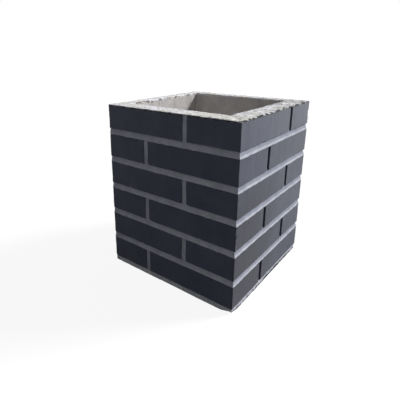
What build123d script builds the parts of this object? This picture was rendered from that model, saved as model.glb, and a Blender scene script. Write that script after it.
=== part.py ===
from build123d import *
import os

# Chimney duct block: a square concrete duct clad with fired brick corner slips.
# Each course has four L-shaped slips. A slip wraps one corner, with its long leg on one face and its
# short leg on the next, so no joint falls on a corner. The courses turn alternately left and right,
# which bonds them. Recessed pointing fills the bed joints and the upright joints (perpends). The bed
# joints are weather-struck: pressed in at the top and sloping out to the slip below.
# The slips of the front left and back right corners are cut shorter, to close each course.
# The flue stands a little off centre, so the four walls differ.
# Millimetres, +Z up, origin at the centre of the underside. The front is -Y and the right is +X.

# Brick slips
SLIP_LONG = 210.0        # long leg, a whole brick
SLIP_SHORT = 112.0       # short leg
SLIP_CUT = 12.0          # cut off both legs of the slips at the front left and back right corners
SLIP_HEIGHT = 51.0
SLIP_THICKNESS = 15.0
ARRIS_RADIUS = 1.2       # worn edge round each visible face

# Joints
COURSES = 6
BED_JOINT = 11.5
PERPEND = 10.0
BED_RECESS = 2.2         # face of the slips back to the mortar of a bed joint
PERPEND_RECESS = 5.0     # the same in a perpend
STRUCK_RISE = 4.0        # height of the slope that runs out to the arris of the slip below

# Concrete duct
LEFT_WALL = 28.0         # face of the block to the flue, with the slip
RIGHT_WALL = 47.0
FRONT_WALL = 42.0
BACK_WALL = 33.0
RIM_COVER = 2.5          # concrete over the tops of the first course
FLUE_CORNER_RADIUS = 4.0
RIM_INNER_RADIUS = 2.0
RIM_OUTER_RADIUS = 1.0

# Sizes that follow
FACE = SLIP_LONG + PERPEND + SLIP_SHORT - SLIP_CUT
HALF_FACE = FACE / 2
HALF_DUCT = HALF_FACE - SLIP_THICKNESS
FLUE_WIDTH = FACE - LEFT_WALL - RIGHT_WALL
FLUE_DEPTH = FACE - FRONT_WALL - BACK_WALL
FLUE_CENTRE = ((LEFT_WALL - RIGHT_WALL) / 2, (FRONT_WALL - BACK_WALL) / 2)
PITCH = SLIP_HEIGHT + BED_JOINT
SLIPS_TOP = COURSES * PITCH
HEIGHT = SLIPS_TOP + RIM_COVER
HALF_BED = HALF_FACE - BED_RECESS
HALF_STRUCK = HALF_FACE - ARRIS_RADIUS
HALF_PERPEND = HALF_FACE - PERPEND_RECESS
FOOT_FACE = BED_JOINT - STRUCK_RISE      # upright face of the bottom joint, which has no slip below

# Quarter turns about +Z that take the front right corner to each corner
CORNERS = {"front_right": 0, "back_right": 1, "back_left": 2, "front_left": 3}


def course_bottom(course):
    """Underside of a course's slips, courses numbered from the top."""
    return SLIPS_TOP - course * PITCH + BED_JOINT


def cut(quarter):
    """What is cut off both legs of a corner's slip."""
    return SLIP_CUT if quarter % 2 else 0


def right_leg(course, quarter):
    """Leg of a slip on the face to the right of its corner: long in odd courses, short in even ones."""
    return (SLIP_LONG if course % 2 else SLIP_SHORT) - cut(quarter)


def front_leg(course, quarter):
    """Leg of the same slip on the face to the left of its corner."""
    return (SLIP_SHORT if course % 2 else SLIP_LONG) - cut(quarter)


def turned(quarter, height):
    """Level plane at a height, turned by quarter turns about the block's axis."""
    return Plane.XY.offset(height).rotated((0, 0, 90 * quarter))


def on_outer_face(face):
    """True for a face of a slip that lies on the outside of the block."""
    centre = face.center()
    return abs(max(abs(centre.X), abs(centre.Y)) - HALF_FACE) < 0.01


def square_round_flue(half):
    """Square about the block's axis with the flue through it, drawn in the current sketch."""
    Rectangle(2 * half, 2 * half)
    with Locations(FLUE_CENTRE):
        Rectangle(FLUE_WIDTH, FLUE_DEPTH, mode=Mode.SUBTRACT)


def save(name, part):
    part.label = name
    export_step(part, f"parts/{name}.step")


os.makedirs("parts", exist_ok=True)

# Concrete duct: a square tube whose rim runs out over the slips to the face of the block
with BuildPart() as duct_core:
    with BuildSketch(Plane.XY):
        square_round_flue(HALF_DUCT)
    extrude(amount=HEIGHT)
    with BuildSketch(Plane.XY.offset(SLIPS_TOP)):
        square_round_flue(HALF_FACE)
    extrude(amount=RIM_COVER)
    flue_uprights = duct_core.edges().filter_by(Axis.Z).group_by(SortBy.LENGTH)[-1]
    fillet(flue_uprights, FLUE_CORNER_RADIUS)
    rim = duct_core.faces().sort_by(Axis.Z)[-1]
    fillet(rim.inner_wires()[0].edges(), RIM_INNER_RADIUS)
    rim = duct_core.faces().sort_by(Axis.Z)[-1]
    fillet(rim.outer_wire().edges(), RIM_OUTER_RADIUS)
save("duct_core", duct_core.part)

# Corner slips: one L for each corner of each course, every edge of its two visible faces eased
for course in range(1, COURSES + 1):
    for corner, quarter in CORNERS.items():
        along_right = right_leg(course, quarter) - HALF_FACE
        along_front = HALF_FACE - front_leg(course, quarter)
        with BuildPart() as slip:
            with BuildSketch(turned(quarter, course_bottom(course))):
                with BuildLine():
                    Polyline(
                        (HALF_FACE, -HALF_FACE),
                        (HALF_FACE, along_right),
                        (HALF_DUCT, along_right),
                        (HALF_DUCT, -HALF_DUCT),
                        (along_front, -HALF_DUCT),
                        (along_front, -HALF_FACE),
                        close=True,
                    )
                make_face()
            extrude(amount=SLIP_HEIGHT)
            fillet(slip.faces().filter_by(on_outer_face).edges(), ARRIS_RADIUS)
        save(f"slip_c{course}_{corner}", slip.part)

# Pointing: a ring for each bed joint, struck at its foot, and an upright strip for each perpend
with BuildPart() as pointing_mortar:
    for course in range(1, COURSES + 1):
        joint_bottom = course_bottom(course) - BED_JOINT
        slope_bottom = joint_bottom + (FOOT_FACE if course == COURSES else 0)
        with BuildSketch(Plane.XY.offset(joint_bottom)):
            Rectangle(2 * HALF_BED, 2 * HALF_BED)
        extrude(amount=BED_JOINT)
        with BuildSketch(Plane.XY.offset(slope_bottom)):
            Rectangle(2 * HALF_STRUCK, 2 * HALF_STRUCK)
        with BuildSketch(Plane.XY.offset(slope_bottom + STRUCK_RISE)):
            Rectangle(2 * HALF_BED, 2 * HALF_BED)
        loft()
        for quarter in CORNERS.values():
            perpend_centre = right_leg(course, quarter) - HALF_FACE + PERPEND / 2
            with BuildSketch(turned(quarter, course_bottom(course))):
                with Locations(((HALF_PERPEND + HALF_DUCT) / 2, perpend_centre)):
                    Rectangle(HALF_PERPEND - HALF_DUCT, PERPEND)
            extrude(amount=SLIP_HEIGHT)
    with BuildSketch(Plane.XY):
        Rectangle(2 * HALF_STRUCK, 2 * HALF_STRUCK)
    extrude(amount=FOOT_FACE)
    with BuildSketch(Plane.XY):
        Rectangle(2 * HALF_DUCT, 2 * HALF_DUCT)
    extrude(amount=SLIPS_TOP, mode=Mode.SUBTRACT)
save("pointing_mortar", pointing_mortar.part)
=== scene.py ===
import math

import bmesh
import bpy
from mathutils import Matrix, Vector, noise as perlin


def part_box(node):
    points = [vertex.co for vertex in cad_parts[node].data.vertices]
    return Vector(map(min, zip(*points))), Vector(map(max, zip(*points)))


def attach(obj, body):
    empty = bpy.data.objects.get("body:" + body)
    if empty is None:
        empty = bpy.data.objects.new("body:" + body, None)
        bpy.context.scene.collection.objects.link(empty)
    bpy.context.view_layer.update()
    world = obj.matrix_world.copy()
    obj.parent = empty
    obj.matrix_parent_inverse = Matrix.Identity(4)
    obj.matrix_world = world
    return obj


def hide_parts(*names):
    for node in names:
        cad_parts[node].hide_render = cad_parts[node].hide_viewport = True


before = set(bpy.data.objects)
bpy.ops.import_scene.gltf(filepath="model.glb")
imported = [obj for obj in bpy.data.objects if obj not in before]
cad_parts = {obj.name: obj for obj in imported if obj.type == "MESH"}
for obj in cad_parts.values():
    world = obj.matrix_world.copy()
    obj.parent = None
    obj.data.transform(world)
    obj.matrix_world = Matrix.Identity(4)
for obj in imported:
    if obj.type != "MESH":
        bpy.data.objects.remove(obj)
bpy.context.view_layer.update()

# Fired corner slips
# Dark blue-grey clay fired hard, four L-shaped slips to a course, each bent round a corner of the block.
# They were dragged from a die, so their faces carry faint upright marks, and handling wore their arrises.

HALF_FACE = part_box("duct_core")[1].x
SLIP_DEPTH = 0.015
COURSES = 6
SLIPS_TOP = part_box("slip_c1_front_right")[1].z
CORNERS = ("front_right", "back_right", "back_left", "front_left")
HAIR = 0.0001

# Corners of the slips' ends: radius where one broke off and was pointed over, and where it only wore
BROKEN = {
    "slip_c2_front_right": {"Front Foot": 0.0075},
    "slip_c3_front_right": {"Front Foot": 0.0080},
    "slip_c4_front_right": {"Front Foot": 0.0095},
    "slip_c5_front_right": {"Front Foot": 0.0055},
    "slip_c2_front_left": {"Right Foot": 0.0035},
    "slip_c5_front_left": {"Right Head": 0.0075},
    "slip_c3_back_right": {"Front Foot": 0.0060},
    "slip_c5_back_left": {"Right Foot": 0.0070},
}
WORN_CORNER = 0.0018
LEG_CORNERS = ("Front Foot", "Front Head", "Right Foot", "Right Head")

# Grid of quads on a slip: its spacing along the legs, rows up the face, layers through the thickness, and
# how strongly the rows crowd towards the arrises
SLIP_GRID = 0.0013
SLIP_ROWS = 30
SLIP_LAYERS = 6
CROWDING = 0.8

# Wear: radius of an eased edge, with the length over which it varies and between which factors, hollows in
# the faces, small chips and deeper ones with their reach from an edge, pits, and the width that handling
# rubbed pale along an edge
ARRIS_RADIUS = 0.0009
ARRIS_WANDER, ARRIS_VARIES = 0.022, (0.6, 2.2)
HOLLOW_SIZE, HOLLOW_DEPTH = 0.055, 0.0005
FINE_HOLLOW_SIZE, FINE_HOLLOW_DEPTH = 0.009, 0.00022
CHIP_SIZE, CHIP_DEPTH, CHIP_REACH = 0.0075, 0.0008, 0.0035
BREAK_SIZE, BREAK_DEPTH, BREAK_REACH = 0.016, 0.0022, 0.006
FACE_PIT_SPACING, FACE_PIT_DEPTH = 0.045, 0.0011
ARRIS_WIDTH = 0.005

# Each slip takes its patterns from a place of its own, shifted by this for each step of its seed
SEED_SHIFT = (0.37, 0.71, 0.53)

# Tone of each side's courses from the top down, 0 for the darkest clay and 1 for the palest.
# On the right side they are painted light and shade too: pale at the top, dark at the foot where sheen
# fades.
SIDE_TONES_AND_SHADE = (
    (0.66, 0.50, 0.50, 0.45, 0.52, 0.45),
    (1.00, 0.52, 0.48, 0.50, 0.20, 0.02),
    (0.60, 0.45, 0.55, 0.40, 0.50, 0.35),
    (0.55, 0.50, 0.40, 0.55, 0.45, 0.40),
)
CLAY_SPECULAR = 0.08
CLAY_SHEEN = 0.22
CLAY_SHEEN_ROUGHNESS = 0.45

# Linear colours of the clay, of its worn arrises and pits, and of the film that the pointing left on it
BLUE_BLACK = (0.028, 0.033, 0.060, 1)
SLATE = (0.078, 0.086, 0.124, 1)
GREEN_GREY = (0.056, 0.067, 0.080, 1)
BARE_ARRIS = (0.110, 0.112, 0.122, 1)
CEMENT_FILM = (0.20, 0.205, 0.22, 1)
PIT_BLACK = (0.015, 0.016, 0.020, 1)

# Painted shade under the rim: the top arris is painted dark, with a ragged lower edge, so the rim's chips
# show dark
SHADE_UNDER_RIM = (0.008, 0.008, 0.011, 1)
SHADE_UNDER_RIM_START, SHADE_UNDER_RIM_END = SLIPS_TOP + 0.0028, SLIPS_TOP + 0.0036
SHADE_UNDER_RIM_RAGGED = 0.0090

# Painted shade darkens the right face near its front corner, low down, where its sheen fades: where it fades
# out along the face and up it, and how much of it there is from the foot up
LOW_CORNER_SHADE = (0.025, 0.027, 0.039, 1)
LOW_SHADE_END_ALONG = (-0.08, 0.03)
LOW_SHADE_END_HEIGHT = (0.21, 0.27)
LOW_SHADE_HEIGHT, LOW_SHADE_AMOUNT = (0.02, 0.20), (1.0, 0.75)

# How far the blotches shift the tone, and how much of the clay each mark takes where it is strongest: drag
# bands, dark grain, bare arris, film of cement and pits
BLOTCH_SHIFT = 0.14
BAND_SHARE, GRAIN_SHARE, BARE_SHARE, FILM_SHARE, PIT_SHARE = 0.30, 0.35, 0.75, 0.22, 0.6

# Roughness of the clay, from the dusty foot up to the smoother top, and how far its grain shifts that, and
# relief of its fine grain, coarse grain, bands and pits
CLAY_HEIGHT, CLAY_ROUGHNESS = (0.04, 0.36), (0.66, 0.36)
ROUGHNESS_SHIFT = 0.10
CLAY_FINE, CLAY_COARSE, CLAY_BANDS, CLAY_PITS = 0.00010, 0.00012, 0.0003, 0.0004

# Streaks are drawn out upright, because their heights are shrunk to this
STREAK_HEIGHT = 0.07


class Flow:
    """What comes out of a node. Arithmetic on it adds Math nodes to the tree."""

    def __init__(self, tree, socket):
        self.tree, self.socket = tree, socket

    def math(self, operation, *others):
        return add_node(self.tree, "ShaderNodeMath", dict(enumerate((self, *others))), operation=operation)

    def vector(self, operation, *others):
        return add_node(self.tree, "ShaderNodeVectorMath", dict(enumerate((self, *others))),
                        operation=operation)

    def __add__(self, other):
        return self.math("ADD", other)

    def __sub__(self, other):
        return self.math("SUBTRACT", other)

    def __mul__(self, other):
        return self.math("MULTIPLY", other)

    def __truediv__(self, other):
        return self.math("DIVIDE", other)

    def __rtruediv__(self, other):
        return add_node(self.tree, "ShaderNodeMath", {0: other, 1: self}, operation="DIVIDE")

    def at_least(self, other):
        return self.math("MAXIMUM", other)

    def at_most(self, other):
        return self.math("MINIMUM", other)

    def between(self, low, high, start=0.0, end=1.0, curve="LINEAR"):
        """Spread low to high over start to end, held at both ends."""
        return add_node(self.tree, "ShaderNodeMapRange",
                        {"Value": self, "From Min": low, "From Max": high, "To Min": start, "To Max": end},
                        interpolation_type=curve)

    def axes(self):
        """The X, Y and Z of a vector."""
        first = add_node(self.tree, "ShaderNodeSeparateXYZ", {0: self})
        return [Flow(self.tree, socket) for socket in first.socket.node.outputs]


def feed(tree, entry, value):
    """Link a flow into a node's input, or set the input to a plain value."""
    if isinstance(value, Flow):
        tree.links.new(value.socket, entry)
    else:
        entry.default_value = value


def add_node(tree, kind, inputs=None, output=0, **settings):
    """Add a node, set its properties, feed its inputs and return one of its outputs."""
    made = tree.nodes.new(kind)
    for name, value in settings.items():
        setattr(made, name, value)
    for name, value in (inputs or {}).items():
        feed(tree, made.inputs[name], value)
    return Flow(tree, made.outputs[output])


def point(tree, x, y, z):
    """A vector made of three values."""
    return add_node(tree, "ShaderNodeCombineXYZ", {"X": x, "Y": y, "Z": z})


def start_tree(name, kind, sizes):
    """A new node tree with one named number input for each size. Returns the tree and the inputs' flows."""
    tree = bpy.data.node_groups.new(name, kind)
    for size in sizes:
        tree.interface.new_socket(size, in_out="INPUT", socket_type="NodeSocketFloat")
    given = tree.nodes.new("NodeGroupInput")
    return tree, {size: Flow(tree, given.outputs[size]) for size in sizes}


def end_group(tree, results):
    """Put out the named values of a shader group."""
    for name in results:
        tree.interface.new_socket(name, in_out="OUTPUT", socket_type="NodeSocketFloat")
    out = tree.nodes.new("NodeGroupOutput")
    for name, value in results.items():
        feed(tree, out.inputs[name], value)
    return tree


def place_group(material, group, **values):
    """Place a shader group in a material with its values, and return its outputs by name."""
    tree = material.node_tree
    made = tree.nodes.new("ShaderNodeGroup")
    made.node_tree = group
    for name, value in values.items():
        made.inputs[name.replace("_", " ")].default_value = value
    return {socket.name: Flow(tree, socket) for socket in made.outputs}


def object_place(tree):
    """Where a point lies in the block's own frame."""
    return add_node(tree, "ShaderNodeTexCoord", output="Object")


def stored(material, name):
    """A value that the piece's mesh stores at its points."""
    return add_node(material.node_tree, "ShaderNodeAttribute", output="Fac", attribute_name=name)


def mix(share, first, second):
    """Mix two colours, each a flow or a plain colour. Inputs 6 and 7 and output 2 are the node's colours."""
    return add_node(share.tree, "ShaderNodeMix", {0: share, 6: first, 7: second}, output=2, data_type="RGBA")


def finish_shader(material, colour, roughness, height):
    """Feed the material's shader with its colour, roughness and relief, in metres."""
    tree = material.node_tree
    shader = tree.nodes["Principled BSDF"]
    feed(tree, shader.inputs["Base Color"], colour)
    feed(tree, shader.inputs["Roughness"], roughness)
    bump = add_node(tree, "ShaderNodeBump", {"Height": height, "Distance": 1.0})
    feed(tree, shader.inputs["Normal"], bump)
    return shader


def painted(name, paint):
    """A new material, painted by the function given."""
    material = bpy.data.materials.new(name)
    material.use_nodes = True
    paint(material)
    return material


def end_tree(tree, mesh, material):
    """Realize what the tree made, shade it smooth, give it its material and put it out."""
    tree.interface.new_socket("Mesh", in_out="OUTPUT", socket_type="NodeSocketGeometry")
    mesh = add_node(tree, "GeometryNodeRealizeInstances", {"Geometry": mesh})
    mesh = add_node(tree, "GeometryNodeSetShadeSmooth", {"Geometry": mesh})
    mesh = add_node(tree, "GeometryNodeSetMaterial", {"Geometry": mesh, "Material": material})
    feed(tree, tree.nodes.new("NodeGroupOutput").inputs["Mesh"], mesh)


def make_from(tree, name, sizes):
    """Run a tree with these sizes and return its result as a plain mesh object."""
    maker = bpy.data.objects.new("maker", bpy.data.meshes.new("maker"))
    bpy.context.collection.objects.link(maker)
    modifier = maker.modifiers.new("tree", "NODES")
    modifier.node_group = tree
    for entry in tree.interface.items_tree:
        if entry.in_out == "INPUT":
            modifier[entry.identifier] = float(sizes[entry.name])
    bpy.context.view_layer.update()
    graph = bpy.context.evaluated_depsgraph_get()
    mesh = bpy.data.meshes.new_from_object(maker.evaluated_get(graph), preserve_all_data_layers=True,
                                           depsgraph=graph)
    mesh.name = name
    bpy.data.objects.remove(maker)
    piece = bpy.data.objects.new(name, mesh)
    bpy.context.collection.objects.link(piece)
    return piece


def noise(tree, place, size, detail=2.0, shift=0.0):
    """Smooth noise from 0 to 1 whose lumps are about this size across."""
    moved = place.vector("ADD", point(tree, shift, shift, shift)) if shift else place
    return add_node(tree, "ShaderNodeTexNoise", {"Vector": moved, "Scale": 1 / size, "Detail": detail})


def closer_at_ends(share):
    """Shares from 0 to 1 drawn towards both ends, which puts more points on the arrises."""
    return share - (share * (2 * math.pi)).math("SINE") * (CROWDING / (2 * math.pi))


def round_corner(along, rise, radius):
    """Round one corner of the face, from distances in from it: its square becomes a quarter disc."""
    a, b = (radius - along).at_least(0), (radius - rise).at_least(0)
    square = a.at_least(b)
    pull = square / (a * a + b * b).math("SQRT")
    gone = pull.between(0, 1, 1, 0)
    return along + a * gone, rise + b * gone


def slip_tree(material):
    """A slip at the front right corner, Front Leg to -X and Right Leg to +Y. Turn sets it in place."""
    tree, size = start_tree("corner_slip", "GeometryNodeTree", (
        "Front Leg", "Right Leg", "Height", "Thickness", "Half Face", "Underside", "Turn", "Seed",
        "Spacing", "Arris", "Front Tone", "Right Tone", *LEG_CORNERS))
    front, right, height, thickness = size["Front Leg"], size["Right Leg"], size["Height"], size["Thickness"]
    half = size["Half Face"]

    # A bar of small quads, bent into the L with a mitre
    front_steps = (front / size["Spacing"]).math("ROUND")
    right_steps = (right / size["Spacing"]).math("ROUND")
    steps = front_steps + right_steps
    bar = add_node(tree, "GeometryNodeMeshCube",
                   {"Vertices X": steps + 1, "Vertices Y": SLIP_LAYERS + 1, "Vertices Z": SLIP_ROWS + 1})
    u, v, w = (axis + 0.5 for axis in add_node(tree, "GeometryNodeInputPosition").axes())
    step = u * steps
    on_front = closer_at_ends((step / front_steps).between(0, 1))
    on_right = closer_at_ends(((step - front_steps) / right_steps).between(0, 1))
    depth = v.math("POWER", 2.0) * thickness
    behind = v.math("GREATER_THAN", 0.99)
    rise_share = closer_at_ends(w) * behind.between(0, 1, 1, 0) + w.math("GREATER_THAN", 0.5) * behind
    along_front = on_front * (front - depth)
    along_right = on_right.between(0, 1, 1, 0) * (right - depth)
    rise = rise_share * height

    # The four outer corners of the two faces, rounded where they wore or broke
    along_front, rise = round_corner(along_front, rise, size["Front Foot"])
    along_front, fall = round_corner(along_front, height - rise, size["Front Head"])
    along_right, rise = round_corner(along_right, height - fall, size["Right Foot"])
    along_right, fall = round_corner(along_right, height - rise, size["Right Head"])
    rise = height - fall
    place = point(tree, half - front + along_front, right - half - along_right, rise)

    # Arrises: every point within a radius of an edge is drawn onto its round, and the radius wanders
    seeded = place.vector("ADD", point(tree, *(size["Seed"] * shift for shift in SEED_SHIFT)))
    radius = size["Arris"] * noise(tree, seeded, ARRIS_WANDER, 3).between(0.3, 0.75, *ARRIS_VARIES)
    low = point(tree, half - front, half * -1, 0.0)
    high = point(tree, half, right - half, height)
    radii = point(tree, radius, radius, radius)
    core = place.vector("MAXIMUM", low.vector("ADD", radii))
    core = core.vector("MINIMUM", high.vector("SUBTRACT", radii))
    outward = place.vector("SUBTRACT", core).vector("NORMALIZE")
    eased = core.vector("ADD", outward.vector("MULTIPLY", radii))

    # How far each point lies from the nearest edge of its face
    gaps = [(p - a).at_most(b - p) for p, a, b in zip(place.axes(), low.axes(), high.axes())]
    edge = gaps[0].at_most(gaps[1]).at_least(gaps[0].at_least(gaps[1]).at_most(gaps[2]))

    # Hollows in the face, small chips off the arrises, and a few deeper ones
    hollow = (noise(tree, seeded, HOLLOW_SIZE, 2) * HOLLOW_DEPTH
              + noise(tree, seeded, FINE_HOLLOW_SIZE, 3, 3.1) * FINE_HOLLOW_DEPTH)
    chip = (noise(tree, seeded, CHIP_SIZE, 2, 7.3).between(0.58, 0.72, curve="SMOOTHSTEP")
            * edge.between(0.0005, CHIP_REACH, 1, 0) * CHIP_DEPTH)
    break_off = (noise(tree, seeded, BREAK_SIZE, 2, 11.9).between(0.66, 0.74, curve="SMOOTHSTEP")
                 * edge.between(0.001, BREAK_REACH, 1, 0) * BREAK_DEPTH)
    pit = add_node(tree, "ShaderNodeTexVoronoi", {"Vector": seeded, "Scale": 1 / FACE_PIT_SPACING})
    pit = pit.between(0.03, 0.075, FACE_PIT_DEPTH, 0, curve="SMOOTHSTEP")
    sink = hollow + chip + break_off + pit
    worn = eased.vector("SUBTRACT", outward.vector("MULTIPLY", point(tree, sink, sink, sink)))

    # The attributes are stored before the points move, because they are worked out from the bar's own places
    # The tone each leg stores is partly painted shade: on the right face it darkens towards the foot.
    on_right_leg = place.axes()[0].math("GREATER_THAN", half - HAIR)
    tone_and_shade = on_right_leg.between(0, 1, size["Front Tone"], size["Right Tone"])
    mesh = bar
    for name, value in (("arris", edge.between(0.0, ARRIS_WIDTH, 1, 0)), ("tone_and_shade", tone_and_shade)):
        mesh = add_node(tree, "GeometryNodeStoreNamedAttribute",
                        {"Geometry": mesh, "Name": name, "Value": value}, data_type="FLOAT", domain="POINT")
    mesh = add_node(tree, "GeometryNodeSetPosition", {"Geometry": mesh, "Position": worn})
    mesh = add_node(tree, "GeometryNodeMergeByDistance", {"Geometry": mesh, "Distance": 1e-6})
    turned = add_node(tree, "GeometryNodeTransform", {
        "Geometry": mesh, "Translation": point(tree, 0.0, 0.0, size["Underside"]),
        "Rotation": point(tree, 0.0, 0.0, size["Turn"])})
    end_tree(tree, turned, material)
    return tree


def stains_group():
    """Cloudy blotches, and streaks that run upright."""
    tree, size = start_tree("stains", "ShaderNodeTree", ("Blotch Size", "Streak Width"))
    place = object_place(tree)
    streaked = place.vector("MULTIPLY", point(tree, 1.0, 1.0, STREAK_HEIGHT))
    return end_group(tree, {"Blotch": noise(tree, place, size["Blotch Size"], 3),
                            "Streak": noise(tree, streaked, size["Streak Width"], 2, 5.0)})


def grain_group():
    """Sand grains from 0 to 1: the fine ones, and the coarse ones among them."""
    tree, size = start_tree("sand_grain", "ShaderNodeTree", ("Grain Size",))
    place = object_place(tree)
    return end_group(tree, {"Fine": noise(tree, place, size["Grain Size"], 3, 1.3),
                            "Coarse": noise(tree, place, size["Grain Size"] * 4, 2, 4.1)})


def pits_group():
    """Round pits of many sizes: 1 in a pit and 0 around it."""
    tree, size = start_tree("pits", "ShaderNodeTree", ("Spacing", "Radius"))
    cells = add_node(tree, "ShaderNodeTexVoronoi",
                     {"Vector": object_place(tree), "Scale": 1 / size["Spacing"]}, output="Distance")
    share = Flow(tree, cells.socket.node.outputs["Color"]).axes()[0]
    radius = size["Radius"] * share.between(0.4, 1.0)
    distance = cells * size["Spacing"]
    return end_group(tree, {"Pit": distance.between(radius * 0.5, radius + 1e-6, 1, 0)})


def paint_fired_clay(material):
    """Blue-black clay with upright drag bands, bare arrises and a thin skin of cement, painted shade under
    the rim and low on the right face.
    """
    stains = place_group(material, stains_group_tree, Blotch_Size=0.050, Streak_Width=0.014)
    grain = place_group(material, grain_group_tree, Grain_Size=0.0008)
    specks = place_group(material, grain_group_tree, Grain_Size=0.0018)
    pits = place_group(material, pits_group_tree, Spacing=0.011, Radius=0.0011)
    arris, tone_and_shade = stored(material, "arris"), stored(material, "tone_and_shade")
    # The stored tone carries painted light and shade on the right face: pale at the top, dark at the foot.
    blotched = tone_and_shade + stains["Blotch"].between(0.36, 0.64, -BLOTCH_SHIFT, BLOTCH_SHIFT)
    colour = mix(blotched, BLUE_BLACK, SLATE)
    colour = mix(stains["Streak"].between(0.48, 0.66) * BAND_SHARE, colour, GREEN_GREY)
    colour = mix(grain["Coarse"].between(0.52, 0.72) * GRAIN_SHARE, colour, BLUE_BLACK)
    bare = arris.between(0.72, 0.98) * grain["Coarse"].between(0.36, 0.60)
    colour = mix(bare * BARE_SHARE, colour, BARE_ARRIS)
    filmed = arris.between(0.1, 0.9) * stains["Blotch"].between(0.50, 0.62)
    colour = mix(filmed * FILM_SHARE, colour, CEMENT_FILM)
    colour = mix(pits["Pit"] * PIT_SHARE, colour, PIT_BLACK)
    across, along, height = object_place(material.node_tree).axes()
    # Painted shade low on the right face near its front corner, where its sheen fades
    on_right_face = across.between(HALF_FACE - 0.004, HALF_FACE - 0.002)
    near_corner = along.between(*LOW_SHADE_END_ALONG, 1, 0) * height.between(*LOW_SHADE_END_HEIGHT, 1, 0)
    corner_shade = on_right_face * near_corner * height.between(*LOW_SHADE_HEIGHT, *LOW_SHADE_AMOUNT)
    colour = mix(corner_shade, colour, LOW_CORNER_SHADE)
    # Painted shade on the top arris, where the rim overhangs it
    ragged_height = height + specks["Coarse"] * SHADE_UNDER_RIM_RAGGED
    colour = mix(ragged_height.between(SHADE_UNDER_RIM_START, SHADE_UNDER_RIM_END), colour, SHADE_UNDER_RIM)
    roughness = (height.between(*CLAY_HEIGHT, *CLAY_ROUGHNESS)
                 + (stains["Streak"] + grain["Fine"] - 1) * ROUGHNESS_SHIFT)
    relief = (grain["Fine"] * CLAY_FINE + grain["Coarse"] * CLAY_COARSE + stains["Streak"] * CLAY_BANDS
              - pits["Pit"] * CLAY_PITS)
    shader = finish_shader(material, colour, roughness, relief)
    shader.inputs["Specular IOR Level"].default_value = CLAY_SPECULAR
    shader.inputs["Sheen Weight"].default_value = CLAY_SHEEN
    shader.inputs["Sheen Roughness"].default_value = CLAY_SHEEN_ROUGHNESS


stains_group_tree, grain_group_tree, pits_group_tree = stains_group(), grain_group(), pits_group()
corner_slip = slip_tree(painted("fired_clay", paint_fired_clay))
for course in range(1, COURSES + 1):
    for quarter, corner in enumerate(CORNERS):
        node = f"slip_c{course}_{corner}"
        low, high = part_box(node)
        legs = (high.x - low.x, high.y - low.y)
        front_leg, right_leg = legs if quarter % 2 == 0 else legs[::-1]
        next_side = (quarter + 1) % 4
        slip = make_from(corner_slip, f"fired_{node}", {
            "Front Leg": front_leg, "Right Leg": right_leg, "Height": high.z - low.z,
            "Thickness": SLIP_DEPTH, "Half Face": HALF_FACE, "Underside": low.z,
            "Turn": quarter * math.pi / 2, "Seed": course + quarter * COURSES,
            "Spacing": SLIP_GRID, "Arris": ARRIS_RADIUS,
            "Front Tone": SIDE_TONES_AND_SHADE[quarter][course - 1], "Right Tone": SIDE_TONES_AND_SHADE[next_side][course - 1],
            **{end: BROKEN.get(node, {}).get(end, WORN_CORNER) for end in LEG_CORNERS}})
        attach(slip, "root")
        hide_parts(node)

# Weather-struck pointing
# Grey cement mortar, packed into the bed joints and perpends once the slips were set. A trowel drawn along
# each bed joint pressed its top edge in and left a lip at its foot, which laps over the slip below.

# Bed joints: their recess where they are pressed in, which is less at the left edge, at the top of the slope
# and at the lip. The lip's height, the rise where its slope starts, and how it laps over the slips below
BED_RECESS = 0.0029
LEFT_SIDE_FILL = 0.45
SLOPE_TOP_RECESS = 0.0019
LIP_RECESS, LIP_ROUGHNESS = 0.00015, 0.0003
LIP_HEIGHT = 0.0046
LIP_START = -0.0006
LIP_OVERLAP = (0.0009, 0.0021, 0.0010, 0.0010)
LAP_SLOPE = 1.2
LAP_DEPTH = 0.0032

# Perpends: their recess on each side, how far up from the bed they take to reach it, and how far the mortar
# runs behind the slips beside them, further where the slips' corners broke
PERPEND_RECESS = (0.0024, 0.0045, 0.0034, 0.0042)
PERPEND_FADE = 0.005
PERPEND_REACH = 0.007
CORNER_REACH = 0.017
CORNER_RISE = 0.013

# The bottom joint: the rises between which its face slopes back, its recess, what is chipped off its lower
# edge on each side and at the near corner, and the stretch that is roughest
FOOT_SLOPE = (0.0050, 0.0085)
FOOT_RECESS, FOOT_ROUGHNESS = 0.0009, 0.0009
FOOT_CHIP = (0.0005, 0.0011, 0.0016, 0.0018)
FOOT_BREAK = (-0.030, 0.135)
FOOT_BREAK_FADE = 0.02
NEAR_CHIP = 0.0060
NEAR_CHIP_REACH = 0.030

# How far along a face the mitre starts to spread the mortar's depth
MITRE_START = 0.100

# Unevenness of the mortar, each kind given by its amount, the size of its lumps and a shift of the pattern
BED_NOISE = (0.0006, 0.020, 3.0)
PERPEND_NOISE = (0.0008, 0.012, 5.0)
FINE_NOISE = ((0.0003, 0.0045, 1.0), (0.0002, 0.0022, 1.7))

# Tones from 0 for pressed mortar to 1 for pale: on each side where it is pressed and on its lip, and on the
# bottom joint up to the rises given. The sides' tones paint shade on the pressed band and light on the lip,
# most on the right face. The painted shade of the bottom joint's chipped foot, its share beside the rough
# stretch, and the height over which it fades
MORTAR_SHADE_AND_LIGHT = ((0.36, 0.41), (0.0, 0.72), (0.2, 0.6), (0.3, 0.5))
FOOT_TONES = (1.0, 0.68, 0.60, 0.60)
FOOT_TONE_RISE = (0.0080, 0.0110)
FOOT_SHADE = (0.45, 1.0, 0.6, 0.6)
FOOT_SHADE_BESIDE = 0.72
FOOT_SHADE_HEIGHT = 0.0135

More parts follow.
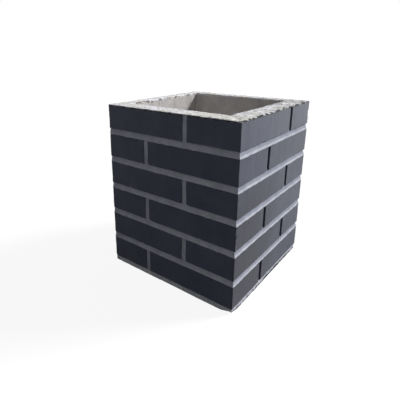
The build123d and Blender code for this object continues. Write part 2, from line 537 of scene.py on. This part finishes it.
# Linear colours of the mortar on the lip, of its sand, of its painted shade where it is pressed in, and of
# its pits and of the painted shade in its chipped foot
MORTAR_GREY = (0.43, 0.445, 0.50, 1)
MORTAR_PALE = (0.56, 0.57, 0.62, 1)
MORTAR_DARK = (0.25, 0.26, 0.30, 1)
PRESSED_SHADE_DARK = (0.225, 0.24, 0.30, 1)
PRESSED_SHADE_PALE = (0.285, 0.30, 0.365, 1)
PIT_SHADE = (0.13, 0.13, 0.14, 1)
CHIP_SHADE = (0.022, 0.025, 0.033, 1)
MORTAR_SPECULAR = 0.2

# How much of the mortar dark sand, pale sand and pits take, how sharply the painted shade of the foot
# starts, the roughness, and the relief of fine sand, coarse sand and pits
DARK_SAND_SHARE, PALE_SAND_SHARE, MORTAR_PIT_SHARE = 0.45, 0.35, 0.7
MORTAR_SHADE_START = (1.10, 1.16)
MORTAR_ROUGHNESS = (0.84, 0.96)
MORTAR_FINE, MORTAR_COARSE, MORTAR_PITS = 0.00022, 0.00045, 0.0007

# Grid of the mortar: columns, the finer ones near a corner or a perpend, and rows. A bed joint's rows are
# given as heights above its foot: a few run down behind the slip below, the last one behind the slip above
COLUMN = 0.0032
FINE_COLUMN = 0.0013
FINE_AT_CORNER = 0.010
FINE_AT_PERPEND = 0.012
PERPEND_ROW = 0.0037
BED_ROWS = (-0.0024, -0.0016, -0.0009, -0.0003, 0.0003, 0.0011, 0.0020,
            0.0030, 0.0041, 0.0055, 0.0072, 0.0090, 0.0107, 0.0126)


def lumps(place, size, shift=0.0):
    """Smooth noise from about 0 to 1 at a place, with lumps about this size across."""
    return 0.5 + 0.5 * perlin.noise(place / size + Vector((shift, shift, shift)))


def ease(value, low, high):
    """Smooth step from 0 at low to 1 at high."""
    share = min(max((value - low) / (high - low), 0.0), 1.0)
    return share * share * (3 - 2 * share)


def turned(side, along, across, height):
    """A point given as seen from the front, turned to another side of the block."""
    cosine, sine = ((1, 0), (0, 1), (-1, 0), (0, -1))[side]
    return Vector((along * cosine - across * sine, along * sine + across * cosine, height))


def on_side(side, along, depth, height):
    """A point behind one face: along runs to the right seen from outside, and the corners are mitred."""
    mitre = min(max((abs(along) - MITRE_START) / (HALF_FACE - MITRE_START), 0.0), 1.0)
    return turned(side, along - math.copysign(depth * mitre, along), depth - HALF_FACE, height)


def uneven(place, amount, size, shift):
    """Unevenness at a place, half of it to either side of 0."""
    return amount * (lumps(place, size, shift) - 0.5)


def near_front_right(place, reach):
    """1 at the front right corner of the block, fading to 0 at this distance from it."""
    return 1 - ease((place - Vector((HALF_FACE, -HALF_FACE, 0))).length, 0, reach)


def perpend_place(side, course):
    """Centre of a course's perpend along one face, midway between the two slips that meet there."""
    legs = []
    for corner in (CORNERS[side - 1], CORNERS[side]):
        low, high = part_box(f"slip_c{course}_{corner}")
        legs.append((high - low)[side % 2])
    return (legs[0] - legs[1]) / 2


def side_columns(perpends):
    """Places along one face, closer together at the corners and where its perpends meet the beds."""
    places = [-HALF_FACE]
    while places[-1] < HALF_FACE - HAIR:
        near_corner = HALF_FACE - abs(places[-1]) < FINE_AT_CORNER
        near_perpend = any(abs(places[-1] - perpend) < FINE_AT_PERPEND for perpend in perpends)
        places.append(places[-1] + (FINE_COLUMN if near_corner or near_perpend else COLUMN))
    excess = places[-1] - HALF_FACE
    return [place - excess * (place + HALF_FACE) / (2 * HALF_FACE + excess) for place in places[:-1]]


def lip_height(place):
    """Height of the lip at a place, which the trowel left uneven."""
    return LIP_HEIGHT * (0.55 + 0.5 * lumps(place, 0.013) + 0.4 * lumps(place, 0.0045, 9.0))


def mortar_depth(side, along, height, foot):
    """Depth of the mortar behind the face, at a height of the joint and perpend above this foot."""
    place = on_side(side, along, 0, height)
    rise = height - foot
    filled = LEFT_SIDE_FILL * ease(-place.x, HALF_FACE - 0.010, HALF_FACE - 0.002)
    recess = BED_RECESS * (1 - filled) + uneven(place, *BED_NOISE)
    lip_foot, lip_top = LIP_START, lip_height(place)
    lip = LIP_RECESS + LIP_ROUGHNESS * lumps(place, 0.007, 8.0)
    perpend = PERPEND_RECESS[side] + uneven(place, *PERPEND_NOISE)
    if foot == 0:
        lip_foot, lip_top = FOOT_SLOPE
        lip = FOOT_RECESS + FOOT_ROUGHNESS * lumps(place, 0.009, 8.0)
    elif rise < -LIP_OVERLAP[side] * (0.4 + lumps(Vector((place.x, place.y, foot)), 0.011, 6.0)):
        return min(lip - LAP_SLOPE * rise, max(perpend, LAP_DEPTH))
    slope = min(max((rise - lip_foot) / (lip_top - lip_foot), 0.0), 1.0)
    pressed = min(max((rise - lip_top) / (BED_ROWS[-2] - lip_top), 0.0), 1.0)
    slope_top = SLOPE_TOP_RECESS * (1 - filled)
    bed = lip + (slope_top - lip) * slope + (recess - slope_top) * pressed
    return bed + (perpend - bed) * ease(rise, BED_ROWS[-2], BED_ROWS[-2] + PERPEND_FADE)


def in_break(along):
    """1 along the stretch of a face where its foot is roughest, and 0 beside it."""
    start, end = FOOT_BREAK
    return ease(along, start, start + FOOT_BREAK_FADE) * (1 - ease(along, end - FOOT_BREAK_FADE, end))


def foot_chip(side, along, place):
    """Height chipped off the block's lower outer edge, most of it at the front right corner."""
    level = Vector((place.x, place.y, 0))
    chip = FOOT_CHIP[0] + (FOOT_CHIP[side] - FOOT_CHIP[0]) * in_break(along)
    ragged = ease(lumps(level, 0.014, 2.0), 0.35, 0.80) + 0.8 * lumps(level, 0.005, 4.0)
    near = near_front_right(level, NEAR_CHIP_REACH)
    return chip * ragged + NEAR_CHIP * near * (0.7 + 0.3 * lumps(level, 0.005))


def lip_share(place, rise):
    """1 on the lip at the foot of a joint, fading to 0 where the trowel pressed the mortar in."""
    return 1 - ease(rise, 0.45 * lip_height(place), 0.95 * lip_height(place))


def mortar_marks(side, along, foot, rise):
    """How pale the mortar is at a point, with painted light on the lip and painted shade where it is pressed
    in, and how much painted shade darkens the chipped foot.
    """
    pressed, pale = MORTAR_SHADE_AND_LIGHT[side]
    if foot > 0:
        return pressed + (pale - pressed) * lip_share(on_side(side, along, 0, foot), rise), 0.0
    darkening = FOOT_SHADE[side] * (FOOT_SHADE_BESIDE + (1 - FOOT_SHADE_BESIDE) * in_break(along))
    pale = pressed + (FOOT_TONES[side] - pressed) * (1 - ease(rise, *FOOT_TONE_RISE))
    return pale, darkening * (1 - ease(rise, 0, FOOT_SHADE_HEIGHT))


def pointing_rows():
    """Heights of the rows from the bottom up, each with the foot of its joint and its course."""
    rows = []
    foot = 0.0
    for course in range(COURSES, 0, -1):
        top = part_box(f"slip_c{course}_front_right")[1].z
        rises = [rise for rise in BED_ROWS if rise > 0 or course < COURSES]
        if course == COURSES:
            rises.insert(0, 0.0)
        between = top - foot - BED_ROWS[-1] + (BED_ROWS[0] if course > 1 else 0)
        steps = round(between / PERPEND_ROW)
        rises += [BED_ROWS[-1] + between * step / steps for step in range(1, steps + (course == 1))]
        rows += [(foot + rise, foot, course) for rise in rises]
        foot = top
    return rows


def is_mortar(from_perpend, rise, fall):
    """Whether a cell shows mortar or lies just behind the slips that border it."""
    if rise < BED_ROWS[-1] or fall < -BED_ROWS[0]:
        return True
    reach = CORNER_REACH if rise < BED_ROWS[-1] + CORNER_RISE or fall < CORNER_RISE else PERPEND_REACH
    return from_perpend < reach


def make_pointing():
    """A sheet of cells over the four faces, cut out where the slips are and closed at the slips' backs."""
    perpends = {(side, course): perpend_place(side, course)
                for side in range(4) for course in range(1, COURSES + 1)}
    columns = []
    for side in range(4):
        columns += [(side, along) for along in side_columns((perpends[side, 1], perpends[side, 2]))]
    rows = pointing_rows()
    feet = sorted({foot for _, foot, _ in rows}) + [SLIPS_TOP + 1]
    kept = set()
    for i, (height, foot, course) in enumerate(rows[:-1]):
        middle = (height + rows[i + 1][0]) / 2
        next_foot = feet[feet.index(foot) + 1]
        for j, (side, along) in enumerate(columns):
            if is_mortar(abs(along - perpends[side, course]), middle - foot, next_foot - middle):
                kept.add((i, j))
    mesh = bmesh.new()
    lip = mesh.verts.layers.float.new("lip")
    darkening = mesh.verts.layers.float.new("darkening")
    around = len(columns)
    made = {}

    def corner(i, j, is_back):
        """The vertex of a row and column, on the struck face or at the back."""
        key = (i, j % around, is_back)
        if key not in made:
            side, along = columns[key[1]]
            height, foot, _ = rows[i]
            rise = height - foot
            depth = SLIP_DEPTH
            if not is_back:
                place = on_side(side, along, 0, height)
                fine = sum(uneven(place, *kind) for kind in FINE_NOISE)
                depth = max(mortar_depth(side, along, height, foot) + fine, HAIR)
                if foot == 0 and height < BED_ROWS[-2]:
                    chip = foot_chip(side, along, place)
                    height = chip + height * (1 - chip / BED_ROWS[-2])
            made[key] = mesh.verts.new(on_side(side, along, depth, height))
            made[key][lip], made[key][darkening] = mortar_marks(side, along, foot, rise)
        return made[key]

    def cell(i, j, is_back):
        """The four corners of a cell, anticlockwise seen from outside."""
        places = ((i, j), (i, j + 1), (i + 1, j + 1), (i + 1, j))
        return [corner(row, column, is_back) for row, column in places]

    for i, j in kept:
        front, back = cell(i, j, False), cell(i, j, True)
        mesh.faces.new(front)
        mesh.faces.new(back[::-1])
        for k, (di, dj) in enumerate(((-1, 0), (0, 1), (1, 0), (0, -1))):
            if (i + di, (j + dj) % around) not in kept:
                m = (k + 1) % 4
                mesh.faces.new((front[m], front[k], back[k], back[m]))
    return mesh


def finish_mesh(mesh, name, material):
    """Turn a bmesh into a smooth-shaded object with one material."""
    data = bpy.data.meshes.new(name)
    for face in mesh.faces:
        face.smooth = True
    mesh.to_mesh(data)
    mesh.free()
    data.materials.append(material)
    piece = bpy.data.objects.new(name, data)
    bpy.context.collection.objects.link(piece)
    return piece


def paint_cement_mortar(material):
    """Cool grey mortar with dark and pale sand, palest on the lip and darkest where it is pressed in, as
    painted light and shade, with painted shade in the chipped foot.
    """
    stains = place_group(material, stains_group_tree, Blotch_Size=0.022, Streak_Width=0.009)
    grain = place_group(material, grain_group_tree, Grain_Size=0.0009)
    specks = place_group(material, grain_group_tree, Grain_Size=0.0014)
    pits = place_group(material, pits_group_tree, Spacing=0.0075, Radius=0.0013)
    lip = stored(material, "lip")
    pressed = mix(stains["Blotch"].between(0.34, 0.66), PRESSED_SHADE_DARK, PRESSED_SHADE_PALE)
    colour = mix(stains["Blotch"].between(0.34, 0.66), MORTAR_GREY, MORTAR_PALE)
    # Painted shade on the pressed band and painted light on the lip, strongest on the right face
    colour = mix(lip, pressed, colour)
    colour = mix(grain["Coarse"].between(0.50, 0.68) * DARK_SAND_SHARE, colour, MORTAR_DARK)
    colour = mix(grain["Fine"].between(0.56, 0.70) * PALE_SAND_SHARE, colour, MORTAR_PALE)
    colour = mix(pits["Pit"] * MORTAR_PIT_SHARE, colour, PIT_SHADE)
    # Painted shade in the chipped foot of the bottom joint
    darkening = (stored(material, "darkening") + specks["Coarse"]).between(*MORTAR_SHADE_START)
    colour = mix(darkening, colour, CHIP_SHADE)
    relief = grain["Fine"] * MORTAR_FINE + grain["Coarse"] * MORTAR_COARSE - pits["Pit"] * MORTAR_PITS
    shader = finish_shader(material, colour, grain["Fine"].between(0.3, 0.7, *MORTAR_ROUGHNESS), relief)
    shader.inputs["Specular IOR Level"].default_value = MORTAR_SPECULAR


pointing = finish_mesh(make_pointing(), "struck_pointing", painted("cement_mortar", paint_cement_mortar))
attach(pointing, "root")
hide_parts("pointing_mortar")

# Cast concrete duct
# A square duct of sandy cream concrete, cast inside the ring of slips. Its rim was floated off by hand over
# the tops of the first course, so it is uneven and pitted, with a chipped outer edge and a ragged inner one.

RIM_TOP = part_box("duct_core")[1].z
RIM_COVER = 0.0025
FLUE_LOW = Vector((-0.132, -0.118, 0))
FLUE_HIGH = Vector((0.113, 0.127, 0))
FLUE_CORNER = 0.004

# Rows of the duct's section, after two up its hidden outer wall: insets and drops of the rim's outer edge,
# depths over the slips, steps in to the flue, turns round the inner lip, and down the wall, ever longer
RIM_EDGE = ((0.0, RIM_COVER), (0.0, 0.0017), (0.0001, 0.0011),
            (0.0004, 0.0006), (0.0010, 0.00025), (0.0020, 0.0001))
RIM_ROWS = (0.0034, 0.0050, 0.0066, 0.0083, 0.0100, 0.0117, 0.0134)
INNER_ROWS = 13
LIP_TURNS = 5
WALL_ROW = 0.0022
WALL_ROW_GROWTH = 1.13
EDGE_END = 2 + len(RIM_EDGE)
FIRST_INSIDE = EDGE_END + len(RIM_ROWS) + INNER_ROWS
AROUND_SIDE = 160

# Wear of the rim on each side: deepest chips of its outer edge, with a ragged line between them, how a chip
# spreads the edge and sinks the rim beside it, and breaks of the inner edge beyond the least one. What the
# near corner lost, and how far round it
RIM_CHIP = (0.0018, 0.0058, 0.0026, 0.0030)
RAGGED_LINE = 0.0010
CHIP_SPREAD = 300
CHIP_SINK, CHIP_SINK_REACH = 0.35, 0.006
INNER_WEAR = (0.0016, 0.0014, 0.0018, 0.0046)
LEAST_WEAR = 0.0022
CORNER_BLEND = 0.06
NEAR_CORNER_CHIP = 0.0080
NEAR_CORNER_DIP = 0.0012
NEAR_CORNER_REACH = 0.014

# Unevenness of the rim and the walls, as for the mortar, and their pits: spacing, radius and depth
RIM_NOISE = ((0.0006, 0.050, 0.0), (0.0010, 0.013, 3.0), (0.0009, 0.0050, 5.0))
RIM_PITS = (0.012, 0.0024, 0.0016)
WALL_NOISE = ((0.0009, 0.034, 1.0), (0.0006, 0.009, 2.0))
WALL_PITS = (0.020, 0.0028, 0.0014)

# Linear colours of the rim, the walls and the dirt on the broken inner edge, the heights between which the
# walls' give way to the rim's, and where the rim turns creamier towards the near corner, as x less y
RIM_WHITE = (0.74, 0.74, 0.79, 1)
RIM_CREAM = (0.62, 0.615, 0.575, 1)
RIM_GREY = (0.34, 0.33, 0.345, 1)
WALL_GREY = (0.465, 0.445, 0.44, 1)
WALL_CREAM = (0.56, 0.535, 0.52, 1)
WALL_STAIN = (0.30, 0.28, 0.27, 1)
EDGE_STAIN = (0.085, 0.070, 0.055, 1)
RIM_START, RIM_FULL = RIM_TOP - 0.0045, RIM_TOP - 0.0015
CREAMY_CORNER, CREAMY_SHIFT = (0.18, 0.30), 0.12

# How much grey grains take of the rim, streaks and grains of the walls, and pits of both, how sharply the
# darkening starts, the roughness, and the relief of fine grain, coarse grain and pits
RIM_GRAIN_SHARE, WALL_STREAK_SHARE, WALL_GRAIN_SHARE, CONCRETE_PIT_SHARE = 0.75, 0.35, 0.35, 0.75
CONCRETE_DARKENING_START = (0.53, 0.58)
CONCRETE_ROUGHNESS = (0.86, 0.98)
CONCRETE_FINE, CONCRETE_COARSE, CONCRETE_PITS = 0.00040, 0.00120, 0.0014

# Darkening on each side, 1 for the most: painted shade on the chipped outer edge, darker specks on the rim,
# more of them towards the far corner, and stains on the inner edge
EDGE_SHADE = (0.40, 1.0, 0.5, 0.4)
RIM_SPECKS = (0.06, 0.26, 0.16, 0.02)
FAR_CORNER_SPECKS = 0.40
INNER_DIRT = (0.45, 0.25, 0.10, 0.80)


def raised(place, height):
    """The same place at this height."""
    return Vector((place.x, place.y, height))


def duct_place(side, share, depth, inward=0):
    """A level place at a depth from the face, and from there inward, as a share of the way to the flue."""
    half = HALF_FACE - depth
    outer = turned(side, (2 * share - 1) * half, -half, 0)
    if not inward:
        return outer
    corners = (Vector((FLUE_LOW.x, FLUE_LOW.y, 0)), Vector((FLUE_HIGH.x, FLUE_LOW.y, 0)),
               Vector((FLUE_HIGH.x, FLUE_HIGH.y, 0)), Vector((FLUE_LOW.x, FLUE_HIGH.y, 0)))
    inner = corners[side].lerp(corners[(side + 1) % 4], share)
    core = Vector((min(max(inner.x, FLUE_LOW.x + FLUE_CORNER), FLUE_HIGH.x - FLUE_CORNER),
                   min(max(inner.y, FLUE_LOW.y + FLUE_CORNER), FLUE_HIGH.y - FLUE_CORNER), 0))
    inner = core - (core - inner).normalized() * FLUE_CORNER
    return outer.lerp(inner, inward)


def blend_sides(values, side, share):
    """One of four values for the sides, eased into its neighbour's near each corner."""
    here, before, after = values[side], values[side - 1], values[(side + 1) % 4]
    return (here + (before - here) * 0.5 * (1 - ease(share, 0, CORNER_BLEND))
            + (after - here) * 0.5 * ease(share, 1 - CORNER_BLEND, 1))


def pit(place, spacing, radius, depth):
    """Depth of the round pit at a place, where one is there."""
    distance = perlin.voronoi(place / spacing)[0][0] * spacing
    return depth * (1 - ease(distance, radius * 0.5, radius))


def layered(place, kinds):
    """Kinds of unevenness at a place, added up."""
    return sum(amount * lumps(place, size, shift) for amount, size, shift in kinds)


def duct_column(side, share):
    """The duct's section at one place, from the foot of its hidden outer wall, and the way inward."""
    face, back = duct_place(side, share, 0), duct_place(side, share, SLIP_DEPTH)
    edge = duct_place(side, share, SLIP_DEPTH, 1)
    inward = (edge - face).normalized()
    near = near_front_right(face, NEAR_CORNER_REACH)
    chip = (RAGGED_LINE * lumps(face, 0.030) * lumps(face, 0.008, 2.0)
            + blend_sides(RIM_CHIP, side, share) * ease(lumps(face, 0.0085, 4.0), 0.60, 0.82)
            * (0.5 + lumps(face, 0.030, 9.0)) + NEAR_CORNER_CHIP * near)
    wear = LEAST_WEAR + blend_sides(INNER_WEAR, side, share) * ease(lumps(edge, 0.011, 7.0), 0.40, 0.85)

    def top(place):
        """Height of the rim at a level place."""
        hollow = layered(place, RIM_NOISE) + pit(place, *RIM_PITS)
        return RIM_TOP - hollow - NEAR_CORNER_DIP * near

    section = [back, raised(back, SLIPS_TOP)]
    for inset, drop in RIM_EDGE:
        place = duct_place(side, share, chip + inset * (1 + CHIP_SPREAD * chip))
        section.append(raised(place, SLIPS_TOP + (top(place) - SLIPS_TOP) * (1 - drop / RIM_COVER)))
    for depth in RIM_ROWS:
        place = duct_place(side, share, depth + chip * (1 - depth / SLIP_DEPTH))
        sunk = CHIP_SINK * chip * (1 - ease(depth, 0, CHIP_SINK_REACH))
        section.append(raised(place, top(place) - sunk))
    reach = 1 - wear / (edge - back).length
    for step in range(INNER_ROWS):
        place = duct_place(side, share, SLIP_DEPTH, reach * step / (INNER_ROWS - 1))
        section.append(raised(place, top(place)))
    start = section[-1]
    for turn in range(1, LIP_TURNS + 1):
        angle = turn / LIP_TURNS * math.pi / 2
        place = start + inward * (wear * math.sin(angle))
        section.append(raised(place, start.z - wear * (1 - math.cos(angle))))
    height, row = section[-1].z, WALL_ROW
    while height > row:
        height -= row
        row *= WALL_ROW_GROWTH
        section.append(raised(edge, height))
    return section, inward


def edge_darkening(side, share, index):
    """How much a row is darkened: most on the chipped outer edge of the rim, by painted shade, and on the
    ragged inner one, by stains.
    """
    if index <= EDGE_END:
        return blend_sides(EDGE_SHADE, side, share)
    if index < FIRST_INSIDE:
        face = duct_place(side, share, 0)
        return blend_sides(RIM_SPECKS, side, share) + FAR_CORNER_SPECKS * ease(face.x + face.y, 0, 2 * HALF_FACE)
    return blend_sides(INNER_DIRT, side, share) if index < FIRST_INSIDE + LIP_TURNS else 0.0


def make_duct():
    """The ring of sections, closed on itself, with the flue's walls left a little rough."""
    around = [(side, step / AROUND_SIDE) for side in range(4) for step in range(AROUND_SIDE)]
    columns = [duct_column(side, share) for side, share in around]
    rows = min(len(section) for section, _ in columns)
    mesh = bmesh.new()
    darkening = mesh.verts.layers.float.new("darkening")
    inner = mesh.verts.layers.float.new("inner")
    ring = []
    for (side, share), (section, inward) in zip(around, columns):
        section = section[:rows] + [raised(section[-1], 0)]
        for index in range(FIRST_INSIDE, len(section)):
            place = section[index]
            section[index] = place - inward * (layered(place, WALL_NOISE) + pit(place, *WALL_PITS))
        ring.append([mesh.verts.new(place) for place in section])
        for index, vertex in enumerate(ring[-1]):
            vertex[darkening] = edge_darkening(side, share, index)
            vertex[inner] = float(index >= FIRST_INSIDE)
    for here, following in zip(ring, ring[1:] + ring[:1]):
        for index in range(len(here)):
            up = (index + 1) % len(here)
            mesh.faces.new((here[index], following[index], following[up], here[up]))
    return mesh


def paint_cast_concrete(material):
    """Cream sandy concrete: floated and dusty on the rim, duller and stained where the form stood."""
    stains = place_group(material, stains_group_tree, Blotch_Size=0.040, Streak_Width=0.016)
    grain = place_group(material, grain_group_tree, Grain_Size=0.0012)
    specks = place_group(material, grain_group_tree, Grain_Size=0.0018)
    pits = place_group(material, pits_group_tree, Spacing=0.0085, Radius=0.0016)
    across, along, height = object_place(material.node_tree).axes()
    near_corner = (across - along).between(*CREAMY_CORNER)
    rim = mix((stains["Blotch"] + near_corner * CREAMY_SHIFT).between(0.40, 0.60), RIM_WHITE, RIM_CREAM)
    rim = mix(grain["Coarse"].between(0.50, 0.64) * RIM_GRAIN_SHARE, rim, RIM_GREY)
    wall = mix(stains["Blotch"].between(0.36, 0.64), WALL_GREY, WALL_CREAM)
    wall = mix(stains["Streak"].between(0.50, 0.68) * WALL_STREAK_SHARE, wall, WALL_STAIN)
    wall = mix(grain["Coarse"].between(0.54, 0.70) * WALL_GRAIN_SHARE, wall, WALL_STAIN)
    colour = mix((height + grain["Coarse"] * 0.003).between(RIM_START, RIM_FULL), wall, rim)
    colour = mix(pits["Pit"] * CONCRETE_PIT_SHARE, colour, PIT_SHADE)
    # Painted shade on the chipped outer edge, darker specks on the rim, and brown stains on the inner edge
    darkening = stored(material, "darkening")
    darkening = darkening * (specks["Coarse"] + darkening * 0.06).between(*CONCRETE_DARKENING_START)
    colour = mix(darkening, colour, mix(stored(material, "inner"), CHIP_SHADE, EDGE_STAIN))
    relief = grain["Fine"] * CONCRETE_FINE + grain["Coarse"] * CONCRETE_COARSE - pits["Pit"] * CONCRETE_PITS
    shader = finish_shader(material, colour, grain["Fine"].between(0.3, 0.7, *CONCRETE_ROUGHNESS), relief)
    shader.inputs["Specular IOR Level"].default_value = MORTAR_SPECULAR


duct = finish_mesh(make_duct(), "cast_duct", painted("cast_concrete", paint_cast_concrete))
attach(duct, "root")
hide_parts("duct_core")

# Floor, light and camera
# A pale floor under plain daylight: a soft key from behind on the right, a weak low fill beside it, and an
# even sky. Seen directly, the floor and the sky are white, and the block's shadow stays on the floor.

# Strengths, and degrees above the horizon, round from +X and across
LAMPS = {"key": {"strength": 4.25, "elevation": 36, "bearing": 52, "softness": 16},
         "low_fill": {"strength": 1.00, "elevation": 7, "bearing": 68, "softness": 30}}
SKY = 0.27
FLOOR_HALF = 15
FLOOR_BOUNCE = 0.19
FLOOR_GLOW = 0.90
FLOOR_SHADE = 0.12

# The camera, fitted to the edges and corners of the slips: where it stands, and by how many degrees it looks
# down and to the left
LENS = 32.54
SHIFT = (0.060, -0.0992)
STAND = (0.4325, -0.6777, 0.4871)
LOOK_DOWN, LOOK_LEFT = 16.99, 38.25


def grey(value):
    """An even grey of this value."""
    return (value, value, value, 1)


def seen_directly(tree):
    """1 for rays from the camera and for those that gloss or glass sends on."""
    rays = tree.nodes.new("ShaderNodeLightPath")
    kinds = [Flow(tree, rays.outputs[f"Is {kind} Ray"]) for kind in ("Camera", "Glossy", "Transmission")]
    return kinds[0].at_least(kinds[1]).at_least(kinds[2])


def paint_pale_floor(material):
    """White where it is seen directly, darker in shadow, and a dull grey for the light that it sends on."""
    tree = material.node_tree
    tree.nodes.clear()
    bounce = add_node(tree, "ShaderNodeBsdfDiffuse", {"Color": grey(FLOOR_BOUNCE)})
    shaded = add_node(tree, "ShaderNodeBsdfDiffuse", {"Color": grey(FLOOR_SHADE)})
    glow = add_node(tree, "ShaderNodeEmission", {"Color": grey(1), "Strength": FLOOR_GLOW})
    white = add_node(tree, "ShaderNodeAddShader", {0: shaded, 1: glow})
    seen = add_node(tree, "ShaderNodeMixShader", {0: seen_directly(tree), 1: bounce, 2: white})
    feed(tree, tree.nodes.new("ShaderNodeOutputMaterial").inputs["Surface"], seen)


floor_mesh = bmesh.new()
bmesh.ops.create_grid(floor_mesh, size=FLOOR_HALF, x_segments=1, y_segments=1)
floor = finish_mesh(floor_mesh, "floor", painted("pale_floor", paint_pale_floor))

sky = bpy.data.worlds.new("sky")
sky.use_nodes = True
background = sky.node_tree.nodes["Background"]
background.inputs["Color"].default_value = grey(1)
feed(sky.node_tree, background.inputs["Strength"], seen_directly(sky.node_tree).between(0, 1, SKY, 1))
bpy.context.scene.world = sky

for name, values in LAMPS.items():
    light = bpy.data.lights.new(name, "SUN")
    light.energy = values["strength"]
    light.angle = math.radians(values["softness"])
    lamp = bpy.data.objects.new(name, light)
    bpy.context.collection.objects.link(lamp)
    lamp.rotation_euler = (0, math.radians(90 - values["elevation"]), math.radians(values["bearing"]))

camera = bpy.data.cameras.new("camera")
camera.lens = LENS
camera.shift_x, camera.shift_y = SHIFT
view = bpy.data.objects.new("camera", camera)
bpy.context.collection.objects.link(view)
view.location = STAND
view.rotation_euler = (math.pi / 2 - math.radians(LOOK_DOWN), 0, math.radians(LOOK_LEFT))
bpy.context.scene.camera = view
bpy.context.scene.view_settings.view_transform = "Standard"
